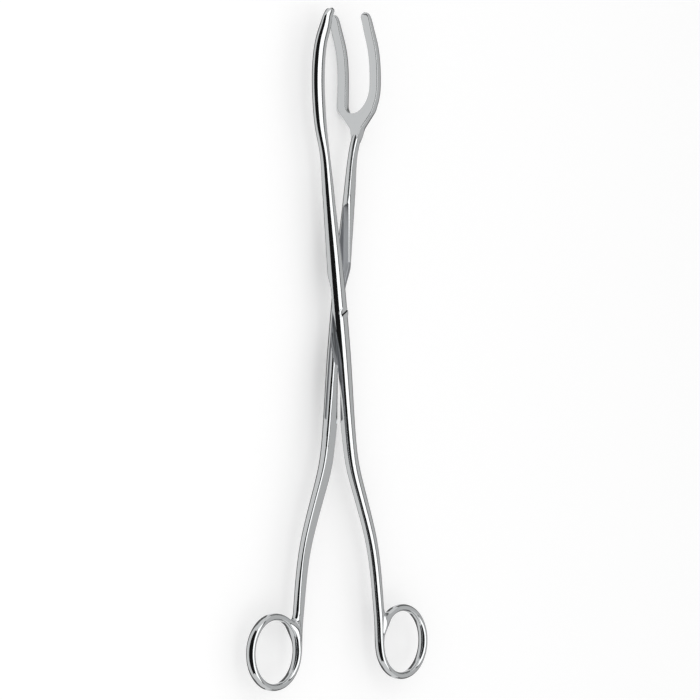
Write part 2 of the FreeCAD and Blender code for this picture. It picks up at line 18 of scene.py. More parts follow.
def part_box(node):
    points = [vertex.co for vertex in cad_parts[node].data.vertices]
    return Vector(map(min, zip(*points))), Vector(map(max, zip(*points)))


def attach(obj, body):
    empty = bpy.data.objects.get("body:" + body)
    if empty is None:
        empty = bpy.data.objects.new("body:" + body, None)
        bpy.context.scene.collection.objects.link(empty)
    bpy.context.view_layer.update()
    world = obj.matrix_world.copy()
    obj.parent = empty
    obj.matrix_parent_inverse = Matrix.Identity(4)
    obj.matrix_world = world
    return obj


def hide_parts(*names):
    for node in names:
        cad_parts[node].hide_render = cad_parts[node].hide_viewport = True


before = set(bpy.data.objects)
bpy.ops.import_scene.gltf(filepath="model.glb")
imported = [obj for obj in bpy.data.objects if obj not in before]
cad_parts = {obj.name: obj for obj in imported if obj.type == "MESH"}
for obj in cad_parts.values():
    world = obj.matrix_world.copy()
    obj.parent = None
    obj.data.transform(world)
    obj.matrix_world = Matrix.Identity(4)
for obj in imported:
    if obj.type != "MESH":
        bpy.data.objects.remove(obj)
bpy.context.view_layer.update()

LOG = logging.getLogger("forceps")
MM = 0.001
# Degrees between two faces from which the edge between them is drawn sharp.
FORGED_CREASE = 40
TURNED_CREASE = 35


# Small tools


def linear(hex_colour: str) -> tuple[float, float, float, float]:
    """Turns an sRGB hex colour such as "c8cacc" into linear RGBA."""
    channels = [int(hex_colour[k:k + 2], 16) / 255 for k in (0, 2, 4)]
    curved = [c / 12.92 if c <= 0.04045 else ((c + 0.055) / 1.055) ** 2.4 for c in channels]
    return (*curved, 1.0)


def add_node(tree: bpy.types.NodeTree, kind: str, settings: dict | None = None, **links) -> bpy.types.Node:
    """Adds one node, sets its properties and fills or links its inputs.

    Args:
        tree: the node tree that gets the node.
        kind: the node's bl_idname.
        settings: property names and values of the node itself.
        links: input names, with _ for a space, and a value or an output socket for each.

    Returns:
        The new node.
    """
    node = tree.nodes.new(kind)
    for name, value in (settings or {}).items():
        setattr(node, name, value)
    for name, value in links.items():
        socket = node.inputs[int(name[1:])] if name[1:].isdigit() else node.inputs[name.replace("_", " ")]
        if isinstance(value, bpy.types.NodeSocket):
            tree.links.new(value, socket)
        else:
            socket.default_value = value
    return node


def new_material(name: str) -> bpy.types.Material:
    """Makes a material whose node tree is empty."""
    made = bpy.data.materials.new(name)
    made.use_nodes = True
    made.node_tree.nodes.clear()
    return made


def add_object(name: str, data: bpy.types.ID) -> bpy.types.Object:
    """Makes an object and links it to the scene."""
    made = bpy.data.objects.new(name, data)
    bpy.context.scene.collection.objects.link(made)
    return made


def grid_faces(index: np.ndarray, closed: bool = False) -> np.ndarray:
    """The four-sided faces between neighbouring rows and columns of a grid.

    Args:
        index: the points' numbers, rows by columns.
        closed: whether the last column joins the first.

    Returns:
        One row of four point numbers per face.
    """
    if closed:
        index = np.hstack([index, index[:, :1]])
    return np.stack([index[:-1, :-1], index[:-1, 1:], index[1:, 1:], index[1:, :-1]], -1).reshape(-1, 4)


def spline(knots: np.ndarray, values: np.ndarray, at: np.ndarray) -> np.ndarray:
    """A natural cubic spline: piecewise cubics whose bend is continuous and vanishes at both ends.

    Args:
        knots: rising places of the given values.
        values: one row of numbers per knot.
        at: the places that are wanted.

    Returns:
        One row of numbers per wanted place.
    """
    gaps = np.diff(knots)[:, None]
    slopes = np.diff(values, axis=0) / gaps
    count = len(knots)
    system = np.eye(count)
    inner = np.arange(1, count - 1)
    system[inner, inner - 1] = gaps[:-1, 0]
    system[inner, inner] = 2 * (gaps[:-1, 0] + gaps[1:, 0])
    system[inner, inner + 1] = gaps[1:, 0]
    bends = np.zeros_like(values)
    bends[1:-1] = 6 * np.diff(slopes, axis=0)
    bends = np.linalg.solve(system, bends)
    piece = np.clip(np.searchsorted(knots, at) - 1, 0, count - 2)
    gap = gaps[piece]
    left, right = (knots[piece + 1] - at)[:, None], (at - knots[piece])[:, None]
    cubic = (bends[piece] * left**3 + bends[piece + 1] * right**3) / (6 * gap)
    straight_left = (values[piece] / gap - bends[piece] * gap / 6) * left
    straight_right = (values[piece + 1] / gap - bends[piece + 1] * gap / 6) * right
    return cubic + straight_left + straight_right


def ease(value: np.ndarray, start: float, end: float) -> np.ndarray:
    """Goes from 0 at start to 1 at end with level ends: 3t^2 - 2t^3."""
    t = np.clip((value - start) / (end - start), 0, 1)
    return t * t * (3 - 2 * t)


def skin_object(name: str, points: np.ndarray, faces: list[list[int]], second: np.ndarray, crease: float,
                materials: list[bpy.types.Material]) -> bpy.types.Object:
    """Makes an object that is shaded smooth but for its sharp edges, with its place in its mesh.

    Args:
        name: the object's name.
        points: places in metres, one row each.
        faces: the point numbers of each face.
        second: for the first faces, true where they take the second material.
        crease: degrees between two faces from which the edge between them is sharp.
        materials: the two materials.

    Returns:
        The new object.
    """
    mesh = bpy.data.meshes.new(name)
    mesh.from_pydata(points.tolist(), [], faces)
    for material in materials:
        mesh.materials.append(material)
    slots = np.zeros(len(faces), dtype=int)
    slots[:len(second)] = second
    mesh.polygons.foreach_set("material_index", slots)
    mesh.shade_smooth()
    mesh.set_sharp_from_angle(angle=math.radians(crease))
    return add_object(name, mesh)


def oval(angle: np.ndarray, east: np.ndarray, west: np.ndarray, north: np.ndarray, south: np.ndarray,
         power: np.ndarray) -> tuple[np.ndarray, np.ndarray]:
    """A section of four joined superellipse quarters: 1 / (|cos/a|^n + |sin/b|^n)^(1/n) from its middle.

    Args:
        angle: directions round the section, one row.
        east, west, north, south: half sizes, one column.
        power: four columns of exponents, from the north-east quarter on; 2 is round and 5 nearly square.

    Returns:
        The points' places to the east and to the north.
    """
    cos, sin = np.cos(angle), np.sin(angle)
    across = np.where(cos > 0, east, west)
    up = np.where(sin > 0, north, south)
    quarter = np.broadcast_to(np.floor(angle / (math.pi / 2)).astype(int) % 4, (len(power), angle.shape[-1]))
    n = np.take_along_axis(power, quarter, axis=1)
    reach = (np.abs(cos / across) ** n + np.abs(sin / up) ** n) ** (-1 / n)
    return reach * cos, reach * sin


def slab(half_wide: np.ndarray, half_tall: np.ndarray,
         corners: tuple[tuple[float, float], ...]) -> tuple[np.ndarray, np.ndarray]:
    """A rectangular section whose corners are quarter ellipses, joined by straight sides.

    Args:
        half_wide, half_tall: half sizes, one column.
        corners: each corner's radii across and up, from the north-east one on, shrunk on small sections.

    Returns:
        The points' places to the east and to the north.
    """
    full_wide, full_tall, points = 2.2, 1.85, 9
    arcs_x, arcs_y = [], []
    arc = np.linspace(0, math.pi / 2, points)[None, :]
    for k, (sign_x, sign_y) in enumerate(((1, 1), (-1, 1), (-1, -1), (1, -1))):
        wide = corners[k][0] * np.minimum(half_wide / full_wide, 1)
        tall = corners[k][1] * np.minimum(half_tall / full_tall, 1)
        turn = arc + k * math.pi / 2
        arcs_x.append(sign_x * (half_wide - wide) + wide * np.cos(turn))
        arcs_y.append(sign_y * (half_tall - tall) + tall * np.sin(turn))
    across, up = [], []
    share = np.linspace(0, 1, points + 1)[None, 1:-1]
    for k in range(4):
        after = (k + 1) % 4
        for arcs, made in ((arcs_x, across), (arcs_y, up)):
            made += [arcs[k], arcs[k][:, -1:] + (arcs[after][:, :1] - arcs[k][:, -1:]) * share]
    return np.hstack(across), np.hstack(up)


# Finishes


class Polish(Enum):
    """How a surface was finished last, and where its colour is painted shade."""

    MIRROR = "mirror-polished stainless steel"
    # Partly painted shade: ground steel, coloured darker than the steel's own for the shade beside the other
    # arm.
    SATIN_AND_SHADE = "ground stainless steel"
    # Painted shade: near-black steel for the screw's slot.
    SHADE = "painted_shade stainless steel in a slot"


@dataclass(frozen=True)
class SteelFinish:
    """Stainless steel such as 1.4021, as forged, ground and then polished, some colours darkened as painted
    shade.

    Attributes:
        polish: the kind of finish, and the material's name.
        colour: its reflectance in sRGB hex, darker than the steel's own where it is painted shade.
        roughness: least microfacet roughness.
        cloud: how far smears and water marks raise the roughness.
        hairline: spacing of polishing lines in millimetres, drawn coarser than the real 0.02.
        relief: height of those lines in millimetres.
        wave: height of the hand finish's slow waviness in millimetres.
        line_stretch: how much slower the lines change along the arms than across them.
        smear_size, wave_size: sizes of the smears and the slow waves in millimetres.
    """

    polish: Polish
    colour: str
    roughness: float
    cloud: float
    hairline: float
    relief: float
    wave: float
    line_stretch: float = 0.06
    smear_size: float = 14
    wave_size: float = 9

    def build(self) -> bpy.types.Material:
        """Makes the material. Returns it."""
        made = new_material(self.polish.value.replace(" ", "_"))
        tree = made.node_tree
        place = add_node(tree, "ShaderNodeTexCoord").outputs["Object"]
        along = add_node(tree, "ShaderNodeMapping", Vector=place, Scale=(self.line_stretch, 1, 1))
        lines, smears, waves = (
            add_node(tree, "ShaderNodeTexNoise", Vector=vector, Scale=1 / (size * MM), Detail=detail)
            for vector, size, detail in ((along.outputs["Vector"], self.hairline, 2.0),
                                         (place, self.smear_size, 3.0), (place, self.wave_size, 1.0)))
        rough = add_node(tree, "ShaderNodeMapRange", Value=smears.outputs["Fac"], From_Min=0.35,
                         From_Max=0.75, To_Min=self.roughness, To_Max=self.roughness + self.cloud)
        slow = add_node(tree, "ShaderNodeBump", Height=waves.outputs["Fac"], Strength=1.0,
                        Distance=self.wave * MM)
        fine = add_node(tree, "ShaderNodeBump", Height=lines.outputs["Fac"], Strength=1.0,
                        Distance=self.relief * MM, Normal=slow.outputs["Normal"])
        steel = add_node(tree, "ShaderNodeBsdfPrincipled", Base_Color=linear(self.colour), Metallic=1.0,
                         Roughness=rough.outputs["Result"], Normal=fine.outputs["Normal"])
        add_node(tree, "ShaderNodeOutputMaterial", Surface=steel.outputs["BSDF"])
        return made


# To the eye: long bands of black and white with crisp edges that sway a little, as in a buffed spoon.
MIRROR = SteelFinish(Polish.MIRROR, "cfd1d2", 0.05, 0.06, 0.35, 0.0012, 0.05)
# To the eye: an even mid grey with no bands, because the grinding marks spread the light. Its colour,
# darker than the steel's own, is also painted shade beside the other arm.
SATIN_AND_SHADE = SteelFinish(Polish.SATIN_AND_SHADE, "9a9c9f", 0.34, 0.08, 0.3, 0.004, 0.0)
# Painted shade: a near-black steel colour in the screw's slot stands in for the shade there, where little
# light comes back out.
SHADE = SteelFinish(Polish.SHADE, "3a3b3d", 0.45, 0.1, 0.3, 0.003, 0.0)


# The arms


@dataclass
class Joint:
    """The pivot and how the arms lie at rest, in millimetres and degrees.

    Attributes:
        rest_turn: how far each arm is turned from the middle at rest.
        closed_turn: the angle between the arms at which their walls would meet.
        crown: how high the upper arm's crown stands over the pivot.
        half_width: half an arm's width and the room beside it.
        shoulder: how far each wall sinks where it starts, and over what length.
        flat_end: from where to where the flat runs out, and how far it sinks.
        ground_end, columns_end: where the ground flat ends, and where the arm's columns are even again.
    """

    rest_turn: float = 7.5
    closed_turn: float = 7.2
    crown: float = 3.95
    lap_gap: float = 0.1
    half_width: float = 3.57
    wall_start: float = 9.0
    shoulder: tuple[float, float] = (3.2, 16.0)
    flat_end: tuple[float, float, float] = (45.3, 47.8, 3.0)
    ground_end: float = 46.5
    columns_end: float = 60.0
    head_radius: float = 2.75
    bore_radius: float = 2.5

    def pivot(self) -> np.ndarray:
        """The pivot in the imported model's frame, read from the screw. Returns millimetres."""
        low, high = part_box("pivot_screw")
        middle = (low + high) / 2 / MM
        return np.array([middle.x, middle.y, high.z / MM - self.crown])

    def place(self, points: np.ndarray, turned_over: bool) -> np.ndarray:
        """Lays an arm's points over the pivot, turned over for the arm underneath. Returns metres."""
        return (self.turned(points, turned_over) + self.pivot()) * MM

    def turned(self, points: np.ndarray, turned_over: bool) -> np.ndarray:
        """Turns an arm's points or directions as the arm lies at rest."""
        side = -1 if turned_over else 1
        turn = math.radians(self.rest_turn) * side
        cos, sin = math.cos(turn), math.sin(turn)
        x, y, z = points[..., 0], points[..., 1] * side, points[..., 2] * side
        return np.stack([x * cos - y * sin, x * sin + y * cos, z], axis=-1)

    def walls(self, x: np.ndarray) -> tuple[np.ndarray, np.ndarray]:
        """Where the notch's two walls stand to the side, on the jaw's and the handle's side of the joint.

        Each is a line at the closed angle, half an arm's width from the other arm's middle.

        Args:
            x: places along the arm.

        Returns:
            The walls' places to the side.
        """
        slant = math.tan(math.radians(self.closed_turn))
        room = self.half_width / math.cos(math.radians(self.closed_turn))
        return -x * slant - room, room - x * slant

    def notch(self, points: np.ndarray, columns: tuple[int, int]) -> np.ndarray:
        """Cuts the flat that the other arm lies on: below z = half the gap, between the two walls.

        The walls sink from that height where they start, and the flat sinks at its far ends until the arm
        is whole again, both by 3t^2 - 2t^3.

        Args:
            points: the arm's grid in its own frame, with two of its columns on the walls.
            columns: the column on the jaw's wall and the column on the handle's wall.

        Returns:
            The grid with the notch.
        """
        points = points.copy()
        x, y, z = points[..., 0], points[..., 1], points[..., 2]
        order = np.arange(points.shape[1])[None, :]
        jaw_wall, handle_wall = self.walls(x)
        slack = 0.02
        before_jaw = (x < -self.wall_start) & (order < columns[0]) & (y < jaw_wall + slack)
        past_handle = (x > self.wall_start) & (order > columns[1]) & (y > handle_wall - slack)
        underside = order >= points.shape[1] // 2
        kept = underside & (past_handle | before_jaw)
        start, end, fall = self.flat_end
        inside = np.abs(x) < end
        drop, run = self.shoulder
        shoulder = self.lap_gap / 2 - drop * ease(np.abs(x), self.wall_start, self.wall_start + run)
        z[inside] = np.maximum(z, shoulder)[inside]
        level = self.lap_gap / 2 - fall * ease(np.abs(x), start, end)
        cut = inside & (z < level) & ~kept
        z[cut] = level[cut]
        return points


@dataclass
class Ring:
    """A finger ring at the end of an arm, in the arm's own frame, in millimetres.

    Attributes:
        along, side: where its middle is.
        opening, wall, depth: the width of its hole, and its thickness across and from front to back.
        fillet: how far from the crotch the rounding starts.
        fillet_fade: the places along the arm between which the rounding fades out.
        fillet_before, fillet_after: the length of arm and the share of the ring where the rounding starts.
        first_turn: how far round the arm's own curve carries the ring, in degrees.
        last_turn: where the ring's wall ends inside the arm, in radians.
    """

    along: float = 147.3
    side: float = 23.2
    opening: float = 26.65
    wall: float = 3.05
    depth: float = 4.5
    fillet: float = 5.5
    fillet_fade: tuple[float, float] = (136, 144)
    fillet_before: float = 26
    fillet_after: float = 0.72
    first_turn: float = 36
    last_turn: float = 2 * math.pi - 0.06
    rows: int = 250

    def section(self) -> list[float]:
        """The wall's ellipse: half sizes to the east, west, north and south, and four exponents."""
        return [self.wall / 2] * 2 + [self.depth / 2] * 2 + [2.0] * 4

    def radius(self) -> float:
        """The radius of the middle of the ring's wall."""
        return (self.opening + self.wall) / 2

    def at(self, turn: np.ndarray | float) -> tuple[np.ndarray | float, np.ndarray | float]:
        """The place on the middle of the wall at an angle past where the arm touches it, in radians."""
        return self.along + self.radius() * np.sin(turn), self.side - self.radius() * np.cos(turn)

    def outside(self, points: np.ndarray, lift: float) -> np.ndarray:
        """About how far points are outside the ring: an ellipse turned about the ring's axis."""
        radial = np.hypot(points[..., 0] - self.along, points[..., 1] - self.side) - self.radius()
        return outside_oval(radial, points[..., 2] - lift, self.section())


def outside_oval(across: np.ndarray, up: np.ndarray, sizes: list[np.ndarray | float]) -> np.ndarray:
    """About how far points are outside a section of four superellipse quarters: (k - 1) / |slope of k|.

    Args:
        across, up: places to the east and to the north of the section's middle.
        sizes: half sizes to the east, west, north and south and the four quarters' exponents.

    Returns:
        The distances, negative inside.
    """
    east, west, north, south, *power = sizes
    wide, tall = np.where(across > 0, east, west), np.where(up > 0, north, south)
    n = np.where(up > 0, np.where(across > 0, power[0], power[1]), np.where(across > 0, power[3], power[2]))
    u, v = np.abs(across) / wide + 1e-9, np.abs(up) / tall + 1e-9
    k = (u**n + v**n) ** (1 / n)
    slope = np.hypot((u / k) ** (n - 1) / wide, (v / k) ** (n - 1) / tall)
    return (k - 1) / slope


@dataclass
class Arm:
    """One forged arm: its stations along its middle line, from the jaw to the ring.

    A station is (along, side, half size to +Y, to -Y, to +Z, to -Z, and four corner exponents from the
    quarter between +Y and +Z on, counter-clockwise seen along the arm).

    Attributes:
        name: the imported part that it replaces.
        turned_over: true for the arm underneath.
        lift: how far its middle lies over the pivot's middle plane.
        jaw: the stations of the jaw.
        bend_start, bend_run, bend_side: the S-bend's start, length and width.
        columns: points round it, a multiple of eight.
        fine_steps: steps of the search for the notch's walls.
    """

    name: str
    turned_over: bool
    lift: float
    jaw: list[tuple[float, ...]]
    joint: Joint = field(default_factory=Joint)
    ring: Ring = field(default_factory=Ring)
    bend_start: float = 52
    bend_run: float = 95.3
    bend_side: float = 9.95
    rows_per_mm: float = 2.0
    columns: int = 88
    fine_steps: int = 360

    def stations(self) -> list[tuple[float, ...]]:
        """The jaw's own stations, then those that both arms share, up to the ring."""
        bend = [(self.bend_start + self.bend_run * share, self.bend_side * side) for share, side in
                ((0.15, 0.08), (0.27, 0.35), (0.38, 0.63), (0.5, 0.88), (0.64, 0.995), (0.78, 1.0))]
        last_side = self.bend_side * 0.4 + (self.ring.side - self.ring.radius()) * 0.64
        crown, flat, crisp = 2.1, 4.5, 7.0
        # Each with one half width for both sides, one exponent for the crown and one for the back.
        shared = [
            (-42.0, 0.0, 2.55, 2.5, 2.3, crown, flat),
            (-27.7, 0.0, 3.0, 3.05, 2.35, 2.2, flat),
            (-14.3, 0.0, 3.35, 3.42, 2.45, 2.3, flat),
            (0.0, 0.0, 3.45, 3.5, 2.5, 2.3, flat),
            (21.8, 0.0, 3.35, 3.36, 2.5, 2.3, 5.5),
            (39.5, 0.0, 3.0, 2.9, 2.4, 2.2, crisp),
            (52.0, 0.0, 2.8, 2.7, 2.3, crown, crisp),
            (*bend[0], 2.72, 2.6, 2.15, crown, crisp),
            (*bend[1], 2.6, 2.45, 2.05, crown, crisp),
            (*bend[2], 2.5, 2.35, 2.0, crown, crisp),
            (*bend[3], 2.4, 2.3, 1.95, crown, 6.0),
            (*bend[4], 2.3, 2.3, 1.95, crown, flat),
            (*bend[5], 2.2, 2.25, 2.05, 2.0, 3.4),
            (137.8, last_side, 1.9, 2.25, 2.2, 2.0, 2.3),
        ]
        return self.jaw + [(x, y, wide, wide, up, down, top, top, back, back)
                           for x, y, wide, up, down, top, back in shared] + [
            (*self.ring.at(math.radians(turn)), *self.ring.section())
            for turn in np.linspace(0, self.ring.first_turn, 4)]

    def middle_line(self) -> tuple[np.ndarray, np.ndarray, np.ndarray]:
        """The arm's middle line, its direction and its section sizes, on to the end of the ring.

        Returns:
            Points (x, y), unit directions and the ten numbers of a station from its half sizes on.
        """
        table = np.array(self.stations())
        steps = np.hypot(*np.diff(table[:, :2], axis=0).T)
        knots = np.concatenate([[0], np.cumsum(steps)])
        at = np.linspace(0, knots[-1], int(knots[-1] * self.rows_per_mm))
        steps = np.interp([-self.joint.wall_start, self.joint.wall_start], table[:, 0], knots)
        beside = 0.01
        at = np.sort(np.concatenate([at, steps - beside, steps + beside]))
        drawn = spline(knots, table, at)
        turn = np.linspace(math.radians(self.ring.first_turn), self.ring.last_turn, self.ring.rows)[1:]
        round_ring = np.repeat(table[-1:], len(turn), axis=0)
        round_ring[:, 0], round_ring[:, 1] = self.ring.at(turn)
        whole = np.vstack([drawn, round_ring])
        way = np.gradient(whole[:, :2], axis=0)
        way /= np.linalg.norm(way, axis=1, keepdims=True)
        return whole[:, :2], way, whole[:, 2:]

    def wall_columns(self) -> tuple[int, int]:
        """The columns that follow the notch's jaw wall and handle wall along the underside."""
        return self.columns * 5 // 8, self.columns * 7 // 8

    def directions(self, middle: np.ndarray, sizes: np.ndarray) -> np.ndarray:
        """The angle of each point round its section, with two pairs of columns kept on the notch's walls.

        Args:
            middle: the arm's middle line.
            sizes: each section's numbers.

        Returns:
            One row of angles per section.
        """
        edge_room, wall_room, beside = 0.35, 0.3, 1e-4
        plain = np.linspace(0, 2 * math.pi, self.columns, endpoint=False)
        fine = np.linspace(math.pi, 2 * math.pi, self.fine_steps + 1)[None, :]
        east, west, north, south = (sizes[:, k:k + 1] for k in range(4))
        across = oval(fine, east, west, north, south, sizes[:, 4:8])[0]
        near = 1 - ease(np.abs(middle[:, 0]), self.joint.ground_end, self.joint.columns_end)
        row = np.arange(len(middle))
        found = []
        for wall, column in zip(self.joint.walls(middle[:, 0]), self.wall_columns()):
            nearest = np.abs(across - wall[:, None]).argmin(axis=1)
            step = np.clip(nearest, 1, self.fine_steps - 1)
            left, right = across[row, step - 1], across[row, step + 1]
            share = np.clip((wall - left) / np.maximum(right - left, 1e-6), 0, 1) * 2 - 1
            on_wall = fine[0, step] + share * math.pi / self.fine_steps
            on_wall = np.clip(on_wall, math.pi + edge_room, 2 * math.pi - edge_room)
            found.append(near * on_wall + (1 - near) * plain[column])
        marks = [self.columns // 2, *self.wall_columns(), self.columns]
        bounds = np.stack([np.full(len(middle), math.pi), np.minimum(found[0], found[1] - wall_room),
                           found[1], np.full(len(middle), 2 * math.pi)], axis=1)
        angles = np.repeat(plain[None, :], len(middle), axis=0)
        index = np.arange(self.columns)
        for k in range(3):
            here = (index >= marks[k]) & (index <= marks[k + 1])
            share = (index[here] - marks[k]) / (marks[k + 1] - marks[k])
            angles[:, here] = bounds[:, k:k + 1] + (bounds[:, k + 1:k + 2] - bounds[:, k:k + 1]) * share
        for column, side in zip(self.wall_columns(), (-1, 1)):
            angles[:, column + side] = angles[:, column] + side * beside
        return angles

    def skin(self) -> np.ndarray:
        """The arm's surface: the section at each place of the middle line, square to it.

        Returns:
            A grid of points in the arm's own frame, rows along the arm and columns round it.
        """
        middle, way, sizes = self.middle_line()
        east, west, north, south = (sizes[:, k:k + 1] for k in range(4))
        angle = self.directions(middle, sizes)
        across, up = oval(angle, east, west, north, south, sizes[:, 4:8])
        left = np.stack([-way[:, 1], way[:, 0]], axis=-1)[:, None, :]
        plan = middle[:, None, :] + left * across[..., None]
        return np.concatenate([plan, (up + self.lift)[..., None]], axis=-1)

    def join_ring(self, grid: np.ndarray) -> tuple[np.ndarray, np.ndarray]:
        """Rounds the crotch where the ring closes against the arm.

        Both are drawn onto one smooth surface, f = min(a, b) - max(k - |a - b|, 0)^2 / (4k), with a and b
        the distances outside the arm and the ring. Past the line where they are equal, each sinks under
        the other by 0.2 d^2 + 0.03 d, with d how far past, and the ring's end is tucked into the arm.

        Args:
            grid: the arm's surface, whose last rows run round the ring.

        Returns:
            The grid with its crotch rounded, and the joined surface's normals there, zeros elsewhere.
        """
        bar_from, inner_side, least_fillet = 105, (-0.4, 0.8), 0.02
        rounds, longest_step, deepest, clear = 8, 0.5, 0.7, 0.2
        tuck, tuck_along, tuck_under = 0.12, (139, 143), (-0.03, 0.1)
        middle, _, sizes = self.middle_line()
        touch = int(np.argmax(middle[:, 0] >= self.ring.along))
        bar_rows = slice(int(np.argmax(middle[:, 0] > bar_from)), touch + 1)
        bar_x = middle[bar_rows, 0]
        bar = np.column_stack([middle[bar_rows, 1], sizes[bar_rows, :8]])

        def apart(points: np.ndarray) -> tuple[np.ndarray, np.ndarray, np.ndarray, np.ndarray]:
            """Distances outside the arm and the ring, the joined surface's value and its reach."""
            x = points[..., 0]
            side, *shape = (np.interp(x, bar_x, bar[:, k]) for k in range(9))
            across = points[..., 1] - side
            outside_bar = outside_oval(across, points[..., 2] - self.lift, shape)
            outside_ring = self.ring.outside(points, self.lift)
            reach = self.ring.fillet * ease(across / shape[0], *inner_side)
            reach = reach * (1 - ease(x, *self.ring.fillet_fade)) + least_fillet
            fill = np.maximum(reach - np.abs(outside_bar - outside_ring), 0) ** 2 / (4 * reach)
            return outside_bar, outside_ring, np.minimum(outside_bar, outside_ring) - fill, fill

        def slope(points: np.ndarray) -> np.ndarray:
            """How the joined surface's value changes along X, Y and Z, by small steps both ways."""
            step = 2e-3
            return np.stack([(apart(points + step * unit)[2] - apart(points - step * unit)[2]) / (2 * step)
                             for unit in np.eye(3)], axis=-1)

        normals = np.zeros_like(grid)
        arm_from = touch - int(self.ring.fillet_before * self.rows_per_mm)
        ring_from = touch + int((len(middle) - touch) * self.ring.fillet_after)
        for rows, own in ((slice(arm_from, touch), 0), (slice(ring_from, len(middle)), 1)):
            start = grid[rows]
            part = start.copy()
            level = apart(start)[own]
            for _ in range(rounds):
                way = slope(part)
                short = (apart(part)[2] - level) / ((way**2).sum(-1) + 1e-6)
                part -= np.clip(short, -longest_step, longest_step)[..., None] * way
            found = apart(part)
            past = np.maximum(found[own] - found[1 - own], 0)
            sink = 0.2 * past**2 + 0.03 * past
            if own:
                sink += ease(start[..., 0], *tuck_along) * ease(-apart(start)[0], *tuck_under) * tuck
            sink = np.minimum(sink, deepest)
            centre = start.mean(axis=1, keepdims=True)
            filled = (found[3] > 1e-4) & (sink < 0.5)
            normals[rows] = np.where(filled[..., None], slope(part), 0)
            grid[rows] = part + (centre - part) * sink[..., None]
        size = np.linalg.norm(normals, axis=-1, keepdims=True)
        return grid, np.where(size > clear, normals / np.maximum(size, clear), 0)

    def build(self, finish: bpy.types.Material, ground: bpy.types.Material) -> bpy.types.Object:
        """Makes the arm, left open under the screw's head, and dresses it.

        Args:
            finish: the material of its surface.
            ground: the material of the notch, where the other arm lies, coloured darker as painted shade.

        Returns:
            The arm's object.
        """
        whole, normals = self.join_ring(self.skin())
        grid = self.joint.notch(whole, self.wall_columns())
        x, y, z = grid[..., 0], grid[..., 1], grid[..., 2]
        least_cut, top_side = 0.01, 1
        # The notch's faces take the ground material, whose darker colour is partly painted shade.
        cut = (z > whole[..., 2] + least_cut) & (np.abs(x) < self.joint.ground_end)
        under_head = (np.hypot(x, y) < self.joint.bore_radius) & (z > top_side) & (not self.turned_over)
        tubes = [self.joint.place(tube, self.turned_over) for tube in [grid, *self.extra_tubes()]]
        faces, base = [], 0
        for tube in tubes:
            index = base + np.arange(tube.size // 3).reshape(tube.shape[:2])
            quads = grid_faces(index, closed=True)
            if base == 0:
                quads = quads[~under_head.reshape(-1)[quads].all(axis=1)]
                second = cut.reshape(-1)[quads].any(axis=1)
            faces += quads.tolist() + [index[0, ::-1].tolist(), index[-1].tolist()]
            base += index.size
        points = np.vstack([tube.reshape(-1, 3) for tube in tubes])
        made = skin_object(self.name + "_skin", points, faces, second, FORGED_CREASE, [finish, ground])
        given = np.zeros_like(points)
        given[:z.size] = self.joint.turned(normals, self.turned_over).reshape(-1, 3)
        made.data.normals_split_custom_set_from_vertices(given.tolist())
        return made

    def extra_tubes(self) -> list[np.ndarray]:
        """Further closed surfaces of the same forging."""
        return []


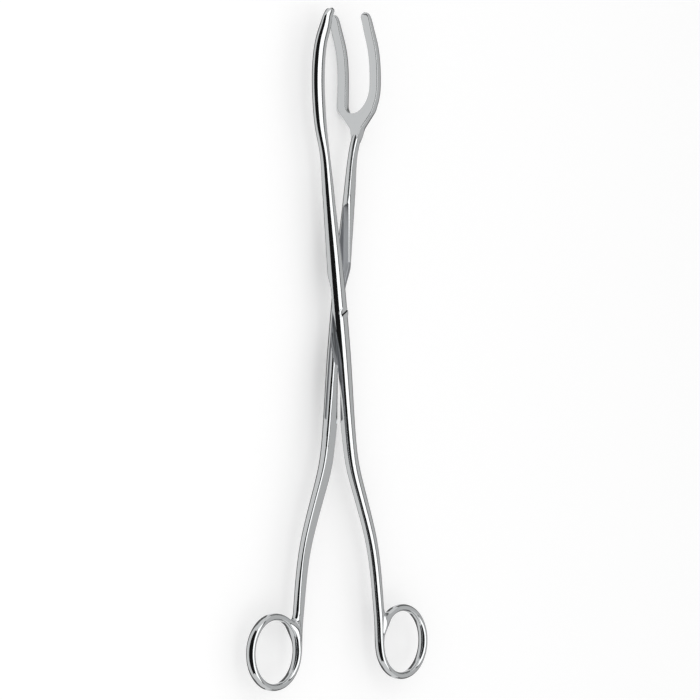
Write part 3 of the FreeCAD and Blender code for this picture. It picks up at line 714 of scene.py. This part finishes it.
@dataclass
class ForkedArm(Arm):
    """The arm whose jaw is a fork of two prongs, one over the other.

    Attributes:
        reach, root, neck: how far from the pivot the tips, the slot's floor and the curve's start are.
        hook, belly: how far the tips curve to one side and the palm to the other.
        floor_up: how far over the middle the slot's floor is deepest.
        wide_run, tight_run: the lengths of the floor's two quarter ellipses.
        forward, forward_from: how far the blade stands in front of the curve, and where it moves there.
        bent: how much the upper prong leans forward, per millimetre of height.
        corners: the section's corner radii, across and up.
        soft_shoulder, sharp_shoulder: the palm's outline (along, up) below and above.
        smooth: points over which the palm's outline is averaged, an odd number.
    """

    reach: float = 128.9
    root: float = 86.6
    neck: float = 70.5
    height: float = 21.8
    gap: float = 13.0
    thickness: float = 3.7
    tip_round: float = 1.6
    hook: float = 9.6
    belly: float = 2.9
    floor_up: float = 2.5
    wide_run: float = 12.4
    tight_run: float = 5.2
    forward: float = 0.9
    forward_from: tuple[float, float] = (74, 90)
    bent: float = 0.045
    corners: tuple[tuple[float, float], ...] = ((0.35, 0.35), (0.3, 0.3), (2.0, 3.0), (1.6, 2.4))
    soft_shoulder: tuple[tuple[float, float], ...] = (
        (-95.6, 10.75), (-92.2, 10.2), (-87.0, 8.6), (-79.6, 2.8), (-74.0, 1.3), (-71.5, 0.0))
    sharp_shoulder: tuple[tuple[float, float], ...] = (
        (-95.0, 10.9), (-89.0, 10.7), (-87.6, 9.8), (-79.6, 2.8), (-74.0, 1.3), (-71.5, 0.0))
    smooth: int = 19

    def bow(self, x: np.ndarray) -> tuple[np.ndarray, np.ndarray]:
        """The blade's middle line to the side, and its thickness, at places along the arm.

        Both are splines through shares of the reach, the belly, the hook and the thickness.

        Args:
            x: places along the arm.

        Returns:
            The middle line's places to the side, and the thicknesses.
        """
        share = np.array([(1.0, 0.0, 1.0, 0.5), (0.965, 0.1, 0.845, 0.68), (0.89, 0.36, 0.66, 0.86),
                          (0.78, 0.72, 0.41, 0.96), (0.64, 0.98, 0.2, 1.0), (0.48, 1.05, 0.065, 1.02),
                          (0.33, 1.0, 0.0, 1.02), (0.145, 0.82, 0.0, 1.0), (-0.02, 0.3, 0.0, 0.86)])
        place = -(self.neck + (self.reach - self.neck) * share[:, 0])
        side = self.hook * share[:, 2] - self.belly * share[:, 1]
        drawn = spline(place, np.stack([side, self.thickness * share[:, 3]], axis=1), x.reshape(-1))
        return drawn[:, 0].reshape(x.shape), drawn[:, 1].reshape(x.shape)

    def outlines(self) -> tuple[np.ndarray, np.ndarray]:
        """The slot's edge and the blade's outer edge, point against point, from one tip to the other.

        The slot's floor is two quarter ellipses, a tight one and a wide one. The palm's outline is a line
        through its corners, averaged twice. Along the prongs, points with the same place along the arm
        belong together; round the palm, those in the same direction from a point between the prongs.

        Returns:
            Two rows of points (along, up).
        """
        arc_points, straight_points, prong_points, fine_points, keep_every = 200, 100, 84, 400, 3
        half, slot = self.height / 2, self.gap / 2
        hub = -self.root - self.wide_run
        turn = np.linspace(0, math.pi / 2, arc_points)
        pad = self.smooth // 2
        quarters = []
        for sign, run in ((1, self.tight_run), (-1, self.wide_run)):
            up = self.floor_up + sign * (slot - sign * self.floor_up) * np.cos(turn)
            quarters.append(np.stack([-self.root - run + run * np.sin(turn), up], axis=1))
        straight = np.linspace(hub, quarters[0][0, 0], straight_points)[:-1]
        straight = np.stack([straight, np.full_like(straight, slot)], axis=1)
        slot_edge = np.vstack([straight, quarters[0], quarters[1][::-1]])
        slot_towards = np.arctan2(slot_edge[:, 1], slot_edge[:, 0] - hub)
        slot_reach = np.hypot(slot_edge[:, 0] - hub, slot_edge[:, 1])
        prong = np.linspace(-self.reach, hub, prong_points)[:-1]
        inner, outer = [], []
        for sign, corners in ((1, self.sharp_shoulder), (-1, self.soft_shoulder)):
            shape = np.array([(hub, half), *corners])
            length = np.concatenate([[0], np.cumsum(np.hypot(*np.diff(shape, axis=0).T))])
            fine = np.linspace(0, length[-1], fine_points)
            edge = np.stack([np.interp(fine, length, shape[:, k]) for k in range(2)], axis=1)
            for _ in range(2):
                before, after = 2 * edge[0] - edge[pad:0:-1], 2 * edge[-1] - edge[-2:-pad - 2:-1]
                padded = np.vstack([before, edge, after])
                edge = np.stack([np.convolve(line, np.ones(self.smooth) / self.smooth, mode="valid")
                                 for line in padded.T], axis=1)
            edge = edge[::keep_every] * (1.0, sign)
            towards = np.arctan2(edge[:, 1], edge[:, 0] - hub)
            reach = np.interp(towards, slot_towards[::-1], slot_reach[::-1])
            palm = np.stack([hub + reach * np.cos(towards), reach * np.sin(towards)], axis=1)
            inner.append(np.vstack([np.stack([prong, np.full_like(prong, slot * sign)], axis=1), palm]))
            outer.append(np.vstack([np.stack([prong, np.full_like(prong, half * sign)], axis=1), edge]))
        return np.vstack([inner[0][:-1], inner[1][::-1]]), np.vstack([outer[0][:-1], outer[1][::-1]])

    def extra_tubes(self) -> list[np.ndarray]:
        """The blade: a band from the slot's edge to the outer edge, carried round the slot from tip to tip.

        Its section has crisp corners in front and round ones at the back, and the whole is bowed along
        the arm.

        Returns:
            One closed grid.
        """
        inner, outer = self.outlines()
        middle, span = (inner + outer) / 2, outer - inner
        wide = np.linalg.norm(span, axis=1)
        span /= wide[:, None]
        end = np.minimum(middle[:, 0] + self.reach, self.tip_round) / self.tip_round
        shrink = np.sqrt(np.clip(1 - (1 - end) ** 2, 0.02, 1))[:, None]
        tall = self.bow(middle[:, 0])[1][:, None]
        across, front = slab(wide[:, None] / 2 * shrink, tall / 2 * shrink, self.corners)
        plan = middle[:, None, :] + span[:, None, :] * across[..., None]
        x, z = plan[..., 0], plan[..., 1]
        side = self.bow(x)[0]
        step = 0.05
        tilt = (self.bow(x + step)[0] - self.bow(x - step)[0]) / (2 * step)
        size = np.sqrt(1 + tilt**2)
        level = front + self.forward * ease(-x, *self.forward_from) + self.bent * np.maximum(z, 0)
        blade = np.stack([x - tilt / size * level, side + level / size, z + self.lift], axis=-1)
        return [blade[:, ::-1]]


SINGLE_JAW = [
    (-129.7, 12.4, 0.3, 0.5, 0.5, 0.5, 3.0, 2.0, 2.0, 3.0),
    (-129.0, 12.1, 0.4, 1.5, 1.35, 1.35, 3.5, 2.0, 2.0, 3.5),
    (-127.3, 10.65, 0.5, 2.6, 1.95, 1.95, 5.0, 2.0, 2.0, 5.0),
    (-123.1, 8.1, 0.55, 3.1, 2.43, 2.43, 6.0, 2.0, 2.0, 6.0),
    (-116.8, 4.55, 0.6, 3.4, 2.65, 2.65, 7.0, 2.0, 2.0, 7.0),
    (-108.5, 1.57, 0.7, 3.5, 2.7, 2.7, 7.0, 2.0, 2.0, 7.0),
    (-99.0, -0.16, 0.75, 3.54, 2.7, 2.7, 7.0, 2.0, 2.0, 7.0),
    (-90.1, -0.8, 0.75, 3.54, 2.65, 2.65, 6.0, 2.0, 2.1, 6.0),
    (-79.1, -0.84, 1.1, 3.05, 2.35, 2.35, 3.5, 2.0, 2.6, 4.0),
    (-70.5, -0.24, 1.75, 2.15, 2.0, 1.95, 2.1, 2.0, 3.6, 3.6),
    (-56.3, 0.0, 2.2, 2.2, 2.2, 2.1, 2.1, 2.1, 4.5, 4.5),
]

FORK_SHANK = [
    (-80.5, -2.6, 0.9, 0.9, 0.9, 0.9, 2.0, 2.0, 2.0, 2.0),
    (-77.5, -1.9, 1.6, 1.6, 1.65, 1.65, 2.0, 2.0, 2.2, 2.2),
    (-70.5, -0.44, 1.9, 1.9, 1.9, 1.9, 2.0, 2.0, 3.0, 3.0),
    (-56.3, 0.0, 2.2, 2.2, 2.2, 2.0, 2.1, 2.1, 4.5, 4.5),
]


# The screw


@dataclass
class PivotScrew:
    """The slotted screw, polished flush with the crown of the upper arm and riveted flush underneath.

    Attributes:
        crown_radius: the radius of the crown that its top follows, across the arm.
        proud: how far it stands over the crown.
        rim_start, rim_drop: the share of its radius from which the rim is rounded, and by how much.
        break_run, break_drop: the broken edge along the slot.
        skirt: how far the head goes on under the slot's floor.
        tail: the riveted end (radius, height over tail_level), from its middle out and up.
    """

    joint: Joint = field(default_factory=Joint)
    crown_radius: float = 8.2
    proud: float = 0.05
    rim_start: float = 0.86
    rim_drop: float = 0.16
    slot_width: float = 0.8
    slot_depth: float = 0.9
    slot_turn: float = 113.5
    break_run: float = 0.06
    break_drop: float = 0.05
    skirt: float = 0.6
    tail: tuple[tuple[float, float], ...] = (
        (0.2, -0.05), (0.8, -0.04), (1.25, -0.02), (1.45, 0.02), (1.5, 0.1), (1.5, 1.2))
    tail_level: float = -3.06

    def build(self, polish: bpy.types.Material, shade: bpy.types.Material) -> bpy.types.Object:
        """Makes the head of strips along its slot, each as long as the circle's chord, and the tail.

        Args:
            polish: the material of the head.
            shade: the material of the slot, a dark colour painted in as the slot's shade.

        Returns:
            The screw's object.
        """
        land_points, strip_points, tail_points = 22, 44, 40
        radius, half = self.joint.head_radius, self.slot_width / 2
        rise = np.linspace(0, math.pi / 2, land_points)
        out = half + (radius - half) * np.sin(rise)
        squeeze = 1 - self.break_run / (radius - half)
        lands = np.concatenate([[half], half + self.break_run + (out[1:] - half) * squeeze])
        cross = np.concatenate([-lands[::-1], [-half, half], lands])
        level = np.zeros(len(lands))
        deep = np.concatenate([level, [1, 1], level])
        edge = np.concatenate([level[1:], [1, 0, 0, 1], level[1:]])
        chord = np.sqrt(np.clip(radius**2 - cross**2, 1e-4, None))
        share = np.sin(np.linspace(-math.pi / 2, math.pi / 2, strip_points))
        along = chord[:, None] * share[None, :]
        across = np.repeat(cross[:, None], len(share), axis=1)
        turn = math.radians(self.slot_turn)
        x = along * math.cos(turn) - across * math.sin(turn)
        y = along * math.sin(turn) + across * math.cos(turn)
        reach = np.hypot(x, y) / radius
        crown = self.joint.crown - (self.crown_radius - np.sqrt(self.crown_radius**2 - y**2))
        rim = self.proud - self.rim_drop * ease(reach, self.rim_start, 1.0)
        top = crown + rim - self.break_drop * edge[:, None] - self.slot_depth * deep[:, None]
        grid = np.stack([x, y, top], axis=-1)
        skirt = grid.copy()
        skirt[..., 2] = top.min() - self.skirt
        turned = np.radians(np.linspace(0, 360, tail_points, endpoint=False))[None, :]
        tail_reach, tail_z = (np.array(self.tail)[:, k:k + 1] for k in range(2))
        tail = np.stack(np.broadcast_arrays(tail_reach * np.cos(turned), tail_reach * np.sin(turned),
                                            tail_z + self.tail_level), axis=-1)
        points = np.vstack([part.reshape(-1, 3) for part in (grid, skirt, tail)])
        upper = np.arange(x.size).reshape(x.shape)
        rim = np.concatenate([upper[0], upper[1:, -1], upper[-1, -2::-1], upper[-2:0:-1, 0]])
        hem = rim + x.size
        wall = np.stack([rim, np.roll(rim, -1), np.roll(hem, -1), hem], axis=-1)
        ring = 2 * x.size + np.arange(tail.size // 3).reshape(tail.shape[:2])
        sides = grid_faces(ring, closed=True)[:, [0, 3, 2, 1]]
        quads = np.vstack([grid_faces(upper)[:, ::-1], wall, grid_faces(upper + x.size), sides])
        faces = quads.tolist() + [ring[0].tolist(), ring[-1, ::-1].tolist()]
        # The slot's faces take the dark material, which is painted shade.
        in_slot = np.repeat(deep[:-1] + deep[1:] > 0, len(share) - 1)
        return skin_object("pivot_screw_skin", self.joint.place(points, False), faces, in_slot,
                           TURNED_CREASE, [polish, shade])


# The studio


@dataclass
class Studio:
    """A plain pale floor, soft light, long reflector cards beside the camera and the camera itself.

    Angles of the cards are measured about the arms' length from the camera's direction, to its right.
    Lengths are in metres, angles in degrees and the lamp's power in watts.

    Attributes:
        tilt: how far the camera is tilted from square to the handles.
        scale: millimetres per pixel at the forceps.
        floor_glow: how much brighter than lit paper the floor is to the camera.
        sky_light, sky_seen, sky_shine: the sky's light, and what is added for the camera and in the steel.
    """

    tilt: float = 50.0
    distance: float = 1.8
    scale: float = 0.428
    image: int = 700
    pivot_pixel: tuple[float, float] = (338.9, 312.7)
    card_radius: float = 1.1
    card_length: float = 3.4
    card_steps: int = 24
    floor_half: float = 6.0
    floor_gap: float = 0.0002
    floor_glow: float = 0.12
    sky_light: float = 0.75
    sky_seen: float = 0.25
    sky_shine: float = 0.09
    lamp_power: float = 10.0
    lamp_size: tuple[float, float] = (2.4, 2.0)
    lamp_place: tuple[float, float, float] = (0.0, -1.05, 1.25)
    lamp_tilt: float = 40.0

    def axes(self) -> tuple[np.ndarray, np.ndarray, np.ndarray]:
        """Unit directions towards the camera, up and to the right in the picture."""
        tilt = math.radians(self.tilt)
        towards = np.array([0.0, -math.sin(tilt), math.cos(tilt)])
        return towards, np.array([-1.0, 0.0, 0.0]), np.array([0.0, math.cos(tilt), math.sin(tilt)])

    def camera(self, pivot: np.ndarray) -> None:
        """Sets the camera so that the joint's middle lies where the picture has it.

        Args:
            pivot: the pivot in millimetres, at the upper arm's middle.
        """
        towards, up, right = self.axes()
        middle = self.image / 2
        aim = pivot + right * (middle - self.pivot_pixel[0]) * self.scale
        aim = aim - up * (middle - self.pivot_pixel[1]) * self.scale
        data = bpy.data.cameras.new("camera")
        data.sensor_width = 36.0
        data.lens = data.sensor_width / 2 / (middle * self.scale * MM / self.distance)
        data.clip_end = 50
        made = add_object("camera", data)
        turn = Matrix([right, up, towards]).transposed()
        made.matrix_world = Matrix.Translation(Vector(aim * MM + towards * self.distance)) @ turn.to_4x4()
        bpy.context.scene.camera = made

    def card(self, name: str, start: float, end: float, level: float) -> None:
        """A curved reflector card along the arms, seen in the steel only.

        Args:
            name: the object's name.
            start: angle of its first edge in degrees.
            end: angle of its last edge.
            level: how bright it is, where 1 is the white background.
        """
        towards, up, right = self.axes()
        angle = np.radians(np.linspace(start, end, self.card_steps))[:, None, None]
        run = np.array([-0.5, 0.5])[None, :, None] * self.card_length
        grid = self.card_radius * (np.cos(angle) * towards + np.sin(angle) * right) + run * up
        faces = grid_faces(np.arange(2 * self.card_steps).reshape(-1, 2))
        mesh = bpy.data.meshes.new(name)
        mesh.from_pydata(grid.reshape(-1, 3).tolist(), [], faces.tolist())
        made = add_object(name, mesh)
        glow = new_material(name)
        light = add_node(glow.node_tree, "ShaderNodeEmission", Color=(1, 1, 1, 1), Strength=level)
        add_node(glow.node_tree, "ShaderNodeOutputMaterial", Surface=light.outputs["Emission"])
        mesh.materials.append(glow)
        made.visible_camera = made.visible_diffuse = made.visible_shadow = False
        made.visible_transmission = False

    def floor(self) -> None:
        """A wide pale floor under the forceps, which keeps their shadow."""
        mesh = bpy.data.meshes.new("floor")
        corners = [(x * self.floor_half, y * self.floor_half, -self.floor_gap)
                   for x, y in ((-1, -1), (1, -1), (1, 1), (-1, 1))]
        mesh.from_pydata(corners, [], [(0, 1, 2, 3)])
        made = add_object("floor", mesh)
        # Matt white card: to the eye an even white with no gloss, faintly darker where a shadow falls.
        paper = new_material("white_paper")
        tree = paper.node_tree
        matt = add_node(tree, "ShaderNodeBsdfDiffuse", Color=linear("fafafa"))
        seen = add_node(tree, "ShaderNodeLightPath").outputs["Is Camera Ray"]
        lift = add_node(tree, "ShaderNodeMath", {"operation": "MULTIPLY"}, _0=seen, _1=self.floor_glow)
        glow = add_node(tree, "ShaderNodeEmission", Color=(1, 1, 1, 1), Strength=lift.outputs["Value"])
        both = add_node(tree, "ShaderNodeAddShader", _0=matt.outputs["BSDF"], _1=glow.outputs["Emission"])
        add_node(tree, "ShaderNodeOutputMaterial", Surface=both.outputs["Shader"])
        mesh.materials.append(paper)
        made.visible_glossy = False

    def sky(self) -> None:
        """The white surroundings, as bright as paper to the camera, softer in the steel and as light."""
        world = bpy.data.worlds.new("studio")
        bpy.context.scene.world = world
        world.use_nodes = True
        tree = world.node_tree
        tree.nodes.clear()
        path = add_node(tree, "ShaderNodeLightPath")
        add_to = {"operation": "MULTIPLY_ADD"}
        seen = add_node(tree, "ShaderNodeMath", add_to, _0=path.outputs["Is Camera Ray"],
                        _1=self.sky_seen, _2=self.sky_light)
        strength = add_node(tree, "ShaderNodeMath", add_to, _0=path.outputs["Is Glossy Ray"],
                            _1=self.sky_shine, _2=seen.outputs["Value"])
        light = add_node(tree, "ShaderNodeBackground", Color=(1, 1, 1, 1),
                         Strength=strength.outputs["Value"])
        add_node(tree, "ShaderNodeOutputWorld", Surface=light.outputs["Background"])

    def lamp(self) -> None:
        """One wide lamp beside the camera, so that the floor's soft shadow hides behind the forceps."""
        data = bpy.data.lights.new("wide_lamp", "AREA")
        data.shape = "RECTANGLE"
        data.size, data.size_y = self.lamp_size
        data.energy = self.lamp_power
        made = add_object("wide_lamp", data)
        made.location = self.lamp_place
        made.rotation_euler = (math.radians(self.lamp_tilt), 0.0, 0.0)
        made.visible_glossy = False

    def build(self, pivot: np.ndarray) -> None:
        """Sets up everything round the forceps. pivot is in millimetres."""
        self.camera(pivot)
        self.floor()
        self.sky()
        self.lamp()
        self.card("left_rim", -172, -120, 0.13)
        self.card("black_card", -68, 10, 0.012)
        self.card("soft_box", 10, 62, 1.75)
        self.card("dark_strip", 62, 75, 0.1)
        self.card("grey_card", 75, 130, 0.62)
        self.card("right_rim", 130, 172, 0.16)


def main() -> None:
    """Builds the studio and the three pieces of the forceps, and puts each under the body that it moves
    with.
    """
    logging.basicConfig(level=logging.INFO, format="%(name)s: %(message)s")
    bpy.context.scene.view_settings.view_transform = "Standard"
    lift = 0.45
    Studio().build(Joint().pivot() + np.array([0.0, 0.0, lift]))
    # The ground material's darker grey is partly painted shade, and the slot's near-black is painted shade.
    polish, ground, shade = MIRROR.build(), SATIN_AND_SHADE.build(), SHADE.build()
    upper = Arm("single_prong_arm", False, lift, SINGLE_JAW)
    lower = ForkedArm("forked_arm", True, -lift, FORK_SHANK)
    for arm, body in ((upper, "single_prong_half"), (lower, "forked_half")):
        made = arm.build(polish, ground)
        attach(made, body)
        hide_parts(arm.name)
        LOG.info("%s: %d faces", made.name, len(made.data.polygons))
    screw = PivotScrew().build(polish, shade)
    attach(screw, "forked_half")
    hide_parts("pivot_screw")
    LOG.info("%s: %d faces", screw.name, len(screw.data.polygons))


if __name__ == "__main__":
    main()
